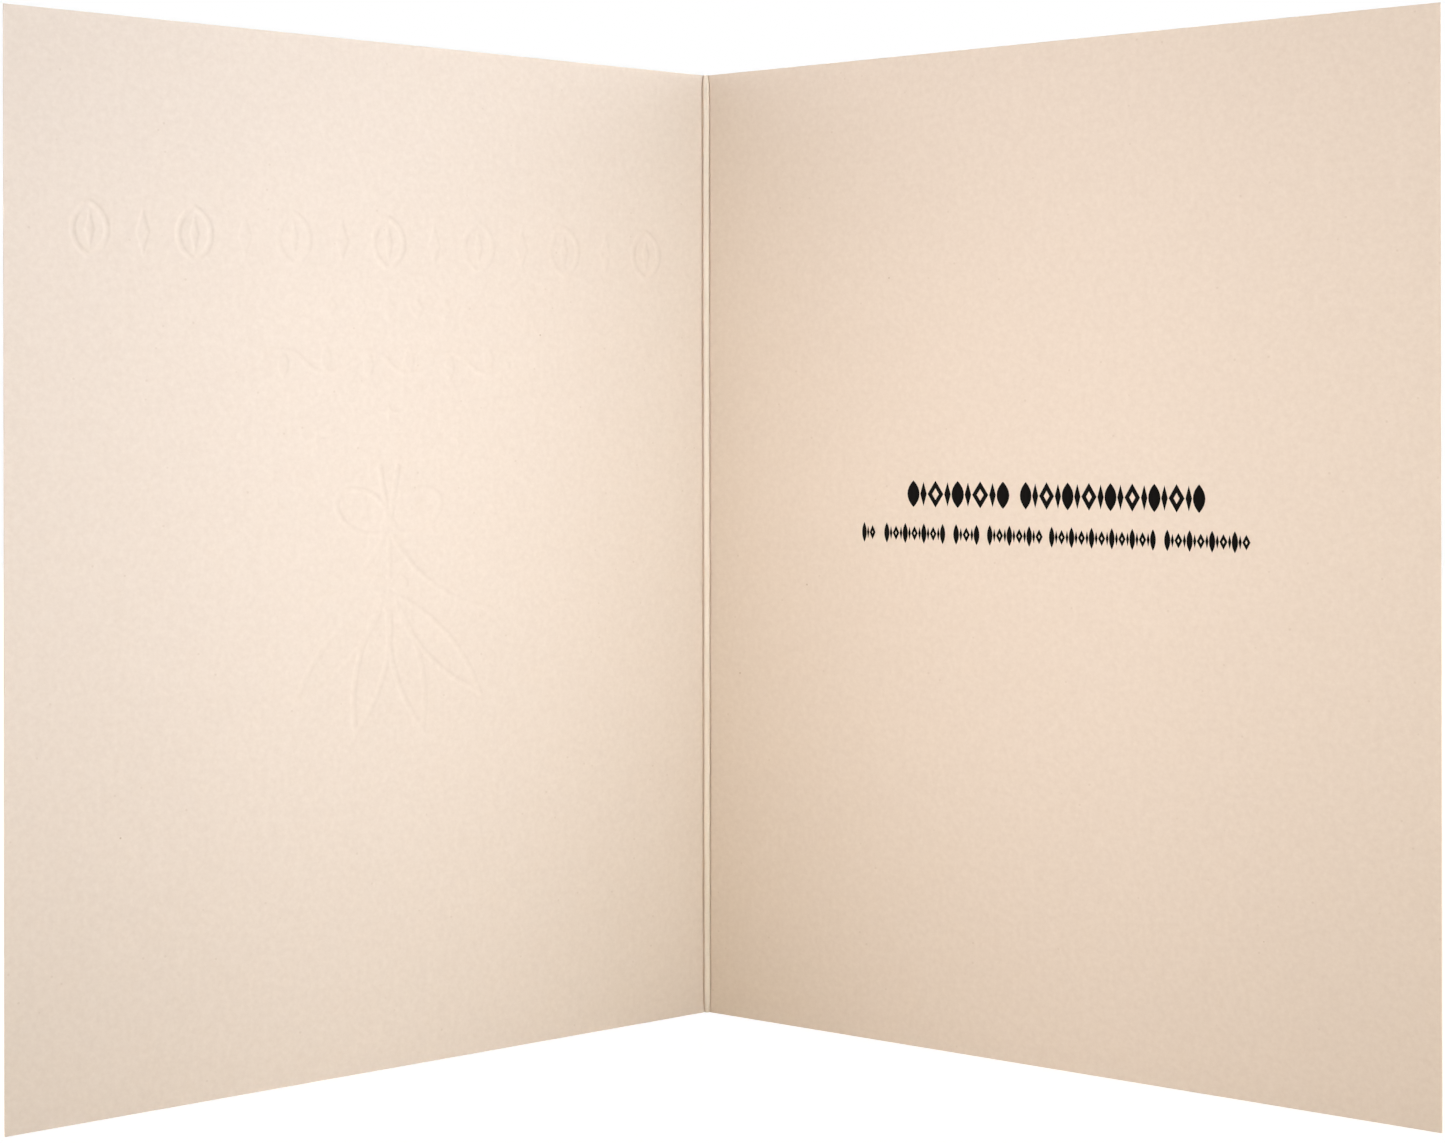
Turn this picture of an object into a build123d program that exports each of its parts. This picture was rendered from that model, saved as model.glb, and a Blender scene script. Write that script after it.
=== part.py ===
from build123d import *
from math import cos, floor, radians, sin, sqrt
import os

# A greeting card: one sheet of board, creased and folded once, standing open on its foot.
# Sizes are in millimetres and angles in degrees. The origin is in the middle of the board at the
# foot of the fold. +Z is up, the card opens towards -Y, the front cover is the leaf on the -X
# side and the back leaf is the one on the +X side.

# The sheet
LEAF_WIDTH = 127.0
LEAF_HEIGHT = 178.0
BOARD = 0.40
OPENING_ANGLE = 125.8

# The fold: a rounded back outside, and inside a bead that narrows to its ends between two grooves
BACK_RADIUS = 1.0
BEAD_RADIUS = 0.50
BEAD_HEIGHT = 0.575
BEAD_END_RADIUS = 0.28
BEAD_TAPER = 2.5
GROOVE_WIDTH = 0.30
GROOVE_DEPTH = 0.09

# The embossing: how far the cover's ornaments are pressed out, and the line they are drawn with
RELIEF = 0.12
LINE = 0.8

# A leaf-and-dart frieze across the head of the cover: each leaf has a slim rib in its middle
FRIEZE_DROP = 30.0
FRIEZE_MARGIN = 8.5
FRIEZE_HEIGHT = 9.5
FRIEZE_PITCH = 8.4
FRIEZE_LEAF_WIDTH = 6.2
RIB_HEIGHT = 5.6
RIB_WIDTH = 1.4
DART_HEIGHT = 7.0
DART_WIDTH = 2.2

# A short row of small lozenges below the frieze
LOZENGE_DROP = 44.0
LOZENGE_HEIGHT = 4.0
LOZENGE_WIDTH = 2.4
LOZENGE_PITCH = 5.2
LOZENGE_COUNT = 5

# A waved stem with leaves below the lozenges
VINE_DROP = 55.5
VINE_WAVE = 15.0
VINE_WAVES = 3
VINE_RISE = 1.8
VINE_LEAF_LENGTH = 4.6
VINE_LEAF_WIDTH = 1.8

# A hanging sprig of slim leaves and berries, tied with a bow
SPRIG_DROP = 84.0
KNOT_RADIUS = 1.5
LOOP_LENGTH = 11.0
LOOP_WIDTH = 7.6
LOOP_TILT = 30.0
STEM_LENGTH = 11.0
STEM_SPREAD = 9.0
TAIL_REACH = 19.0
TAIL_DROP = 15.0
TAIL_BOW = 3.0
FORK_DROP = 11.0
SPRIG_LEAF_LENGTH = 26.0
SPRIG_LEAF_WIDTH = 5.8
SPRIG_LEAF_ANGLES = (-42.0, -14.0, 14.0, 42.0)
BERRY_COUNT = 3
BERRY_RADIUS = 1.6
BERRY_RING_RADIUS = 2.1

# Small four-pointed stars on an arc over the bow
STAR_COUNT = 5
STAR_HEIGHT = 3.4
STAR_WAIST = 0.84
STAR_ARC_ANGLE = 160.0
STAR_ARC_RADIUS = 20.0

half_opening = OPENING_ANGLE / 2
along = Vector(sin(radians(half_opening)), -cos(radians(half_opening)))
inward = Vector(-cos(radians(half_opening)), -sin(radians(half_opening)))
middle = LEAF_WIDTH / 2


def mirrored(point):
    """The same place on the other leaf, in plan."""
    return Vector(-point.X, point.Y)


def back_leaf_point(distance, offset):
    """A place in plan on the back leaf: distance from the fold, offset from mid-board inwards."""
    return along * distance + inward * offset


def corner(offset):
    """Where the two leaves' faces at that offset from mid-board meet, on the card's middle plane."""
    return Vector(0, -offset / sin(radians(half_opening)))


def sheet():
    """Both leaves and the rounded back of the fold, as one section carried up the height."""
    inner = back_leaf_point(LEAF_WIDTH, BOARD / 2)
    outer = back_leaf_point(LEAF_WIDTH, -BOARD / 2)
    section = Polygon(
        corner(-BOARD / 2),
        outer,
        inner,
        corner(BOARD / 2),
        mirrored(inner),
        mirrored(outer),
        align=None,
    )
    back = section.vertices().sort_by(Axis.Y)[-1]
    section = fillet(back, BACK_RADIUS)
    return extrude(section, LEAF_HEIGHT, dir=(0, 0, 1))


def bead_centre():
    """The centre of the bead's round section, in plan."""
    return corner(BOARD / 2) - Vector(0, BEAD_HEIGHT - BEAD_RADIUS)


def bead_edge(radius):
    """How far along a leaf's inner face, from the inner corner, a bead of that radius reaches."""
    shift = bead_centre() - corner(BOARD / 2)
    return shift.dot(along) + sqrt(radius**2 - shift.dot(inward) ** 2)


def bar(centre_at, radius_at):
    """A round bar up the fold whose centre and radius follow the bead's, narrower at both ends."""
    stations = (
        (0.0, BEAD_END_RADIUS),
        (BEAD_TAPER, BEAD_RADIUS),
        (LEAF_HEIGHT - BEAD_TAPER, BEAD_RADIUS),
        (LEAF_HEIGHT, BEAD_END_RADIUS),
    )
    sections = []
    for height, bead_radius in stations:
        centre = centre_at(bead_radius)
        sections.append(Pos(centre.X, centre.Y, height) * Circle(radius_at(bead_radius)))
    return loft(sections, ruled=True)


def bead():
    """The ridge that the crease raises inside the fold."""
    return bar(lambda bead_radius: bead_centre(), lambda bead_radius: bead_radius)


def groove():
    """The hollow between the bead and the back leaf, as the bar that is cut away."""
    radius = (GROOVE_WIDTH**2 / 4 + GROOVE_DEPTH**2) / (2 * GROOVE_DEPTH)

    def centre(bead_radius):
        reach = bead_edge(bead_radius) + GROOVE_WIDTH / 2
        return corner(BOARD / 2) + along * reach + inward * (radius - GROOVE_DEPTH)

    return bar(centre, lambda bead_radius: radius)


def pointed_oval(height, width):
    """Two equal arcs that meet in a point at the top and the bottom."""
    top, bottom = (0, height / 2), (0, -height / 2)
    sides = [ThreePointArc(bottom, (width / 2, 0), top), ThreePointArc(top, (-width / 2, 0), bottom)]
    return make_face(sides)


def oval_line(height, width):
    """A pointed oval drawn as a line of even width."""
    arc_radius = (height**2 / 4 + width**2 / 4) / width
    inner_width = width - 2 * LINE
    inner_height = 2 * sqrt((arc_radius - LINE) ** 2 - (arc_radius - width / 2) ** 2)
    return pointed_oval(height, width) - pointed_oval(inner_height, inner_width)


def lozenge(height, width):
    """An upright diamond."""
    return Polygon((0, height / 2), (-width / 2, 0), (0, -height / 2), (width / 2, 0), align=None)


def row(count, pitch):
    """Places in a row about the origin."""
    return [(index - (count - 1) / 2) * pitch for index in range(count)]


def frieze():
    """Leaves and darts by turns, as many as fit between the margins."""
    leaf = oval_line(FRIEZE_HEIGHT, FRIEZE_LEAF_WIDTH) + lozenge(RIB_HEIGHT, RIB_WIDTH)
    dart = lozenge(DART_HEIGHT, DART_WIDTH)
    count = floor((LEAF_WIDTH - 2 * FRIEZE_MARGIN) / FRIEZE_PITCH)
    ornaments = []
    for index, place in enumerate(row(count, FRIEZE_PITCH)):
        ornament = dart if index % 2 else leaf
        ornaments.append(Pos(place, 0) * ornament)
    return ornaments


def lozenges():
    """A short row of small diamonds."""
    diamond = lozenge(LOZENGE_HEIGHT, LOZENGE_WIDTH)
    return [Pos(place, 0) * diamond for place in row(LOZENGE_COUNT, LOZENGE_PITCH)]


def vine():
    """A waved stem of equal arcs, with one leaf in each arc's hollow, rooted in the stem's middle."""
    half_wave = VINE_WAVE / 2
    start = -VINE_WAVES * half_wave
    arcs = []
    leaves = []
    for index in range(2 * VINE_WAVES):
        side = 1 if index % 2 else -1
        left = start + index * half_wave
        crest = (left + half_wave / 2, side * VINE_RISE)
        arcs.append(ThreePointArc((left, 0), crest, (left + half_wave, 0)))
        leaf_centre = crest[1] - side * VINE_LEAF_LENGTH / 2
        leaves.append(Pos(crest[0], leaf_centre) * pointed_oval(VINE_LEAF_LENGTH, VINE_LEAF_WIDTH))
    return [SlotArc(Wire(arcs), LINE), *leaves]


def bow():
    """A knot, and on either side of it a loop, a stem end above and a ribbon tail below."""
    loop = Ellipse(LOOP_LENGTH / 2, LOOP_WIDTH / 2)
    loop -= Ellipse(LOOP_LENGTH / 2 - LINE, LOOP_WIDTH / 2 - LINE)
    stem_end = Pos(STEM_LENGTH / 2, 0) * SlotOverall(STEM_LENGTH, LINE)
    right_side = [
        Rot(0, 0, LOOP_TILT) * Pos(LOOP_LENGTH / 2, 0) * loop,
        Rot(0, 0, 90 - STEM_SPREAD) * stem_end,
        SlotArc(SagittaArc((0, 0), (TAIL_REACH, -TAIL_DROP), -TAIL_BOW), LINE),
    ]
    left_side = [mirror(piece, Plane.YZ) for piece in right_side]
    return [Circle(KNOT_RADIUS), *right_side, *left_side]


def sprig():
    """A stem that runs into a fork, slim leaves hanging from the fork, and berries round it."""
    stem = Pos(0, -(FORK_DROP + LINE) / 2) * Rectangle(LINE, FORK_DROP + LINE)
    fork = Pos(0, -FORK_DROP)
    leaf = Pos(0, -SPRIG_LEAF_LENGTH / 2) * oval_line(SPRIG_LEAF_LENGTH, SPRIG_LEAF_WIDTH)
    leaves = [fork * Rot(0, 0, angle) * leaf for angle in SPRIG_LEAF_ANGLES]
    places = PolarLocations(BERRY_RING_RADIUS, BERRY_COUNT, start_angle=-90)
    berries = [fork * place * Circle(BERRY_RADIUS) for place in places]
    return [stem, *leaves, *berries]


def stars():
    """Small stars with four points, each of two crossed diamonds."""
    upright = lozenge(STAR_HEIGHT, STAR_WAIST)
    star = upright + Rot(0, 0, 90) * upright
    places = PolarLocations(
        STAR_ARC_RADIUS,
        STAR_COUNT,
        start_angle=90 - STAR_ARC_ANGLE / 2,
        angular_range=STAR_ARC_ANGLE,
        rotate=False,
        endpoint=True,
    )
    return [place * star for place in places]


def ornaments():
    """All the cover's ornaments, drawn flat: across from the fold, and up from the foot."""
    groups = (
        (FRIEZE_DROP + FRIEZE_HEIGHT / 2, frieze()),
        (LOZENGE_DROP + LOZENGE_HEIGHT / 2, lozenges()),
        (VINE_DROP, vine()),
        (SPRIG_DROP, bow() + sprig() + stars()),
    )
    drawing = Sketch()
    for drop, shapes in groups:
        drawing += [Pos(middle, LEAF_HEIGHT - drop) * shape for shape in shapes]
    return drawing


def cover_plane(offset):
    """A plane in the cover: across from the fold, up from the foot, facing out, offset inwards."""
    start = mirrored(back_leaf_point(0, offset))
    return Plane(start, x_dir=mirrored(along), z_dir=-mirrored(inward))


def pressed(offset):
    """The ornaments as low blocks standing outwards from a plane in the cover."""
    face = cover_plane(offset)
    return extrude(face * ornaments(), RELIEF, dir=face.z_dir)


raised = pressed(-BOARD / 2)
sunk = pressed(BOARD / 2)

hollow = groove()
card = sheet() - hollow - mirror(hollow, Plane.YZ) + bead() + raised - sunk

os.makedirs("parts", exist_ok=True)
export_step(card, "parts/folded_card.step")
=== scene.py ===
import logging
import math
from collections.abc import Sequence
from dataclasses import dataclass, field
from enum import Enum

import bpy
import numpy as np
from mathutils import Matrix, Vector


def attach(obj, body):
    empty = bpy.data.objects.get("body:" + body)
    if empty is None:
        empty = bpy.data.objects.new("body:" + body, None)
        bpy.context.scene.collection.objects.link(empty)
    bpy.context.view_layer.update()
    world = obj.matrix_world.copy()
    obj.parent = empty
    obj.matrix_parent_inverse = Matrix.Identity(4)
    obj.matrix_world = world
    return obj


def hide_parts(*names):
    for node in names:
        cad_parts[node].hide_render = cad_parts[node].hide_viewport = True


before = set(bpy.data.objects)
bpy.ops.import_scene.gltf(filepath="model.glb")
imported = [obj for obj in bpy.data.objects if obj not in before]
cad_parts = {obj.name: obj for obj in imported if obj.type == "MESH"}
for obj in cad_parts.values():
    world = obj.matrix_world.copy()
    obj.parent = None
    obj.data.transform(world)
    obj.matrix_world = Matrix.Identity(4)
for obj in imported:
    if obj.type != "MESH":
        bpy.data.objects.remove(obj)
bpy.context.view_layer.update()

# The looks of a greeting card: one sheet of ivory board, creased and folded once, standing open.
# Lengths are in metres and angles in degrees. +Z is up and the card opens towards -Y. The front
# cover is the leaf on the -X side. On a leaf, "across" is the distance from the fold and "up" the
# height above the foot.

MM = 0.001
# A mix node's colour sockets by number, as its sockets of other kinds have the same names
COLOUR_A, COLOUR_B, COLOUR_OUT = 6, 7, 2
log = logging.getLogger("greeting_card")


def linear(colour: str) -> tuple[float, float, float, float]:
    """Turns an sRGB hex colour into linear light.

    Args:
        colour: Six hex digits after a hash sign.

    Returns:
        Red, green, blue and an alpha of 1.
    """
    values = [int(colour[i : i + 2], 16) / 255 for i in (1, 3, 5)]
    bent = [v / 12.92 if v <= 0.04045 else ((v + 0.055) / 1.055) ** 2.4 for v in values]
    return (bent[0], bent[1], bent[2], 1.0)


def add_node(
    tree: bpy.types.NodeTree,
    kind: str,
    inputs: dict[str | int, object] | None = None,
    **settings: object,
) -> bpy.types.Node:
    """Adds one node with its settings, its fixed values and its links.

    Args:
        tree: The tree that the node goes into.
        kind: The node's Blender type.
        inputs: For each input's name or number, a value, or the output socket to link to it.
        **settings: Properties of the node itself.

    Returns:
        The new node.
    """
    node = tree.nodes.new(kind)
    for name, value in settings.items():
        setattr(node, name, value)
    for key, value in (inputs or {}).items():
        if isinstance(value, bpy.types.NodeSocket):
            tree.links.new(value, node.inputs[key])
        else:
            node.inputs[key].default_value = value
    return node


def new_material(name: str) -> tuple[bpy.types.Material, bpy.types.NodeTree]:
    """Makes a node material with an empty tree, and returns both."""
    material = bpy.data.materials.new(name)
    material.use_nodes = True
    material.node_tree.nodes.clear()
    return material, material.node_tree


def new_piece(
    name: str, points: np.ndarray, corners: np.ndarray, sizes: np.ndarray
) -> bpy.types.Object:
    """Puts whole arrays of points and faces into a new mesh object at the origin.

    Args:
        name: The piece's name.
        points: One row of three coordinates a vertex.
        corners: The vertex numbers of all faces, one face after another.
        sizes: How many corners each face has.

    Returns:
        The linked object, shaded smooth.
    """
    mesh = bpy.data.meshes.new(name)
    mesh.vertices.add(len(points))
    mesh.vertices.foreach_set("co", points.astype(np.float32).ravel())
    mesh.loops.add(len(corners))
    mesh.loops.foreach_set("vertex_index", corners.astype(np.int32))
    mesh.polygons.add(len(sizes))
    mesh.polygons.foreach_set("loop_start", (np.cumsum(sizes) - sizes).astype(np.int32))
    mesh.polygons.foreach_set("use_smooth", np.ones(len(sizes), bool))
    mesh.update(calc_edges=True)
    piece = bpy.data.objects.new(name, mesh)
    bpy.context.scene.collection.objects.link(piece)
    return piece


def pointed_oval(x: np.ndarray, y: np.ndarray, height: float, width: float) -> np.ndarray:
    """Signed distance to two equal arcs that meet in points at the top and the bottom.

    Beyond the tips it is the distance to the nearer tip. Elsewhere it is the distance to the arc's
    centre less the arc's radius, with both sides folded onto one.

    Args:
        x: Places across, from the oval's middle.
        y: Places up, from the oval's middle.
        height: From tip to tip.
        width: At the waist.

    Returns:
        The distance at each place, negative inside.
    """
    tip = height / 2
    radius = (tip**2 + (width / 2) ** 2) / width
    shift = radius - width / 2
    x, y = np.abs(x), np.abs(y)
    to_arc = np.hypot(x + shift, y) - radius
    return np.where((y - tip) * shift > x * tip, np.hypot(x, y - tip), to_arc)


def lozenge(x: np.ndarray, y: np.ndarray, height: float, width: float) -> np.ndarray:
    """Signed distance to the sides of an upright diamond, all four folded onto one straight line."""
    return (np.abs(x) * height + np.abs(y) * width - width * height / 2) / math.hypot(width, height)


def ellipse(x: np.ndarray, y: np.ndarray, length: float, width: float) -> np.ndarray:
    """Distance to an ellipse to first order: the scaled radius less one, over its own slope."""
    tiny = 1e-9
    scaled = np.hypot(2 * x / length, 2 * y / width) + tiny
    slope = np.hypot(4 * x / length**2, 4 * y / width**2) + 2 * tiny / length
    return scaled * (scaled - 1) / slope


def straight_line(x: np.ndarray, y: np.ndarray, end: tuple[float, float], width: float) -> np.ndarray:
    """Signed distance to a round-ended line from the origin: that to its axis, less half its width."""
    length = math.hypot(*end)
    along = (x * end[0] + y * end[1]) / length
    off = (y * end[0] - x * end[1]) / length
    return np.hypot(along - np.clip(along, 0, length), off) - width / 2


def arc_line(
    x: np.ndarray,
    y: np.ndarray,
    start: tuple[float, float],
    end: tuple[float, float],
    rise: float,
    width: float,
) -> np.ndarray:
    """Signed distance to a round-ended line of even width along an arc.

    The chord and the rise give the circle. Within the arc's angle it is the distance to the
    circle, and beyond it the distance to the nearer end, each less half the width.

    Args:
        x: Places across.
        y: Places up.
        start: Where the arc begins.
        end: Where it ends.
        rise: How far its middle stands off the chord, to the left of its direction if positive.
        width: The line's width.

    Returns:
        The distance at each place, negative inside.
    """
    half = math.hypot(end[0] - start[0], end[1] - start[1]) / 2
    unit = ((end[0] - start[0]) / (2 * half), (end[1] - start[1]) / (2 * half))
    side = math.copysign(1.0, rise)
    normal = (-unit[1] * side, unit[0] * side)
    radius = (half**2 + rise**2) / (2 * abs(rise))
    depth = radius - abs(rise)
    x = x - (start[0] + end[0]) / 2 + normal[0] * depth
    y = y - (start[1] + end[1]) / 2 + normal[1] * depth
    sideways = np.abs(x * unit[0] + y * unit[1])
    outwards = x * normal[0] + y * normal[1]
    to_end = np.hypot(sideways - half, outwards - depth)
    to_arc = np.abs(np.hypot(sideways, outwards) - radius)
    return np.where(sideways * depth > outwards * half, to_end, to_arc) - width / 2


def turned(x: np.ndarray, y: np.ndarray, degrees: float) -> tuple[np.ndarray, np.ndarray]:
    """Reads the places in axes that are turned anticlockwise by that angle."""
    cosine, sine = math.cos(math.radians(degrees)), math.sin(math.radians(degrees))
    return x * cosine + y * sine, y * cosine - x * sine


def smooth_step(value: np.ndarray) -> np.ndarray:
    """Nought below 0 and one above 1, with 3v^2 - 2v^3 between."""
    value = np.clip(value, 0, 1)
    return value * value * (3 - 2 * value)


@dataclass(frozen=True)
class OpenStance:
    """Where the folded sheet stands: two flat leaves that meet at the fold, the same on both sides."""

    leaf_width: float = 127.0 * MM
    leaf_height: float = 178.0 * MM
    board: float = 0.40 * MM
    opening: float = 125.8

    @property
    def half(self) -> float:
        """Half the angle between the leaves, in radians."""
        return math.radians(self.opening / 2)

    @property
    def along(self) -> np.ndarray:
        """The direction in plan along the back leaf, from the fold outwards."""
        return np.array([math.sin(self.half), -math.cos(self.half)])

    @property
    def inward(self) -> np.ndarray:
        """The direction in plan square to the back leaf, towards the inside of the card."""
        return np.array([-math.cos(self.half), -math.sin(self.half)])

    def in_plan(self, across: np.ndarray, offset: np.ndarray | float) -> np.ndarray:
        """Places on the leaves in plan.

        Args:
            across: Distance from the fold, below nought on the cover.
            offset: Distance from the board's middle, towards the inside.

        Returns:
            X and Y, as one more axis at the end.
        """
        across, offset = np.broadcast_arrays(across, offset)
        plan = np.abs(across)[..., None] * self.along + offset[..., None] * self.inward
        plan[..., 0] *= np.where(across < 0, -1.0, 1.0)
        return plan

    def on_back_leaf(self, across: np.ndarray, up: np.ndarray, lift: np.ndarray) -> np.ndarray:
        """Places over the back leaf's inside face, by their height over its paper."""
        plan = self.in_plan(across, self.board / 2 + lift)
        return np.concatenate([plan, up[..., None]], axis=-1)


@dataclass(frozen=True)
class Groove:
    """One groove beside the bead: how far out its bottom and then its lip lie, and how deep it is."""

    run: float = 0.10 * MM
    lip: float = 0.16 * MM
    foot_depth: float = 0.18 * MM
    head_depth: float = 0.18 * MM


@dataclass(frozen=True)
class CreasedFold:
    """The crease: a rounded back outside, and inside a bead between two grooves.

    Each half's section is worked out for the back leaf's side, and the cover's is then mirrored. The
    sheet was folded a little off the middle of its crease, so the cover's groove is the deeper one.
    """

    stance: OpenStance
    reach: float = 1.4 * MM
    back_radius: float = 1.0 * MM
    bead_half_width: float = 0.56 * MM
    bead_rise: float = 0.32 * MM
    bead_height: float = 0.575 * MM
    bead_end_share: float = 0.56
    bead_taper: float = 2.5 * MM
    bead_squareness: float = 0.6
    bead_span: float = 80.0
    cover_groove: Groove = Groove(
        run=0.16 * MM, lip=0.22 * MM, foot_depth=0.15 * MM, head_depth=0.29 * MM
    )
    back_groove: Groove = Groove()
    groove_round: float = 0.30 * MM
    flank_ease: float = 0.2 * MM
    bead_steps: int = 11
    flank_steps: int = 6
    lip_steps: int = 6

    @property
    def steps(self) -> int:
        """How many strips each half of the fold has."""
        return self.bead_steps + self.flank_steps + self.lip_steps + 1

    def bead_share(self, up: np.ndarray) -> np.ndarray:
        """The bead's size at a height as a share: full in the middle, smaller towards both ends."""
        end = np.minimum(up, self.stance.leaf_height - up)
        share = 1 - (1 - np.clip(end / self.bead_taper, 0, 1)) ** 2
        return self.bead_end_share + (1 - self.bead_end_share) * share

    @staticmethod
    def bridge(
        start: np.ndarray, leaving: np.ndarray, end: np.ndarray, arriving: np.ndarray, steps: int
    ) -> np.ndarray:
        """A cubic curve between two points with given slopes.

        Args:
            start: Where it begins.
            leaving: Its slope there.
            end: Where it ends.
            arriving: Its slope there.
            steps: How many equal shares of its way to give, without the first point.

        Returns:
            The points, on a new first axis.
        """
        t = np.linspace(0, 1, steps + 1)[1:, None, None]
        return (
            (2 * t**3 - 3 * t**2 + 1) * start
            + (t**3 - 2 * t**2 + t) * leaving
            + (3 * t**2 - 2 * t**3) * end
            + (t**3 - t**2) * arriving
        )

    def inside(self, up: np.ndarray, groove: Groove) -> np.ndarray:
        """One half's inside section: the bead's back, then two cubics through the groove's bottom.

        The back is a flattened round: its half width times the sine of a turn, and its rise times the
        cosine, each raised to the squareness, which is 1 for an ellipse and less for a flatter top.

        Args:
            up: The heights of the rows.
            groove: The groove on this side.

        Returns:
            X and Y in plan, as an array of stations by rows by two.
        """
        stance = self.stance
        corner = np.array([0.0, -stance.board / 2 / math.sin(stance.half)])
        foot = corner + np.array([0.0, self.bead_rise - self.bead_height])
        share = self.bead_share(up)[None, :, None]
        turn = np.radians(np.linspace(0, self.bead_span, self.bead_steps + 1))[:, None]
        reach = np.array([self.bead_half_width, self.bead_rise])
        outwards = np.stack([np.sin(turn), -np.cos(turn)], axis=-1)
        bent = np.sign(outwards) * np.abs(outwards) ** self.bead_squareness
        back = foot + share * reach * bent

        edge = self.bead_half_width * share[0] / math.sin(stance.half)
        run = edge + groove.run
        depth = np.interp(up, (0, stance.leaf_height), (groove.foot_depth, groove.head_depth))
        bottom = corner + run * stance.along - depth[:, None] * stance.inward
        leaf = corner + (run + groove.lip) * stance.along
        steep = back[-1] - back[-2]
        steep = steep / np.linalg.norm(steep, axis=-1, keepdims=True)
        level = self.groove_round * stance.along
        flank = self.bridge(back[-1], self.flank_ease * steep, bottom, level, self.flank_steps)
        lip = self.bridge(bottom, level, leaf, level, self.lip_steps)
        last = np.broadcast_to(stance.in_plan(np.array(self.reach), stance.board / 2), leaf.shape)
        return np.concatenate([back, flank, lip, last[None]])

    def insides(self, up: np.ndarray) -> tuple[np.ndarray, np.ndarray]:
        """The inside sections of the cover's half and of the back leaf's half, at those heights."""
        return self.inside(up, self.cover_groove), self.inside(up, self.back_groove)

    def outside(self, up: np.ndarray) -> np.ndarray:
        """The outside section of one half: an arc round the back, then straight along the leaf.

        Args:
            up: The heights of the rows.

        Returns:
            X and Y in plan, as an array of stations by rows by two.
        """
        stance = self.stance
        bend = math.pi / 2 - stance.half
        centre = (stance.board / 2 - self.back_radius) / math.cos(bend)
        start = self.back_radius * math.tan(bend) - stance.board / 2 * math.tan(bend)
        run = np.linspace(0, self.back_radius * bend + self.reach - start, self.steps + 1)
        turn = np.minimum(run / self.back_radius, bend)
        arc = [self.back_radius * np.sin(turn), centre + self.back_radius * np.cos(turn)]
        plan = np.stack(arc, axis=-1) + (run - self.back_radius * turn)[:, None] * stance.along
        return np.broadcast_to(plan[:, None], (len(run), len(up), 2))


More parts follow.
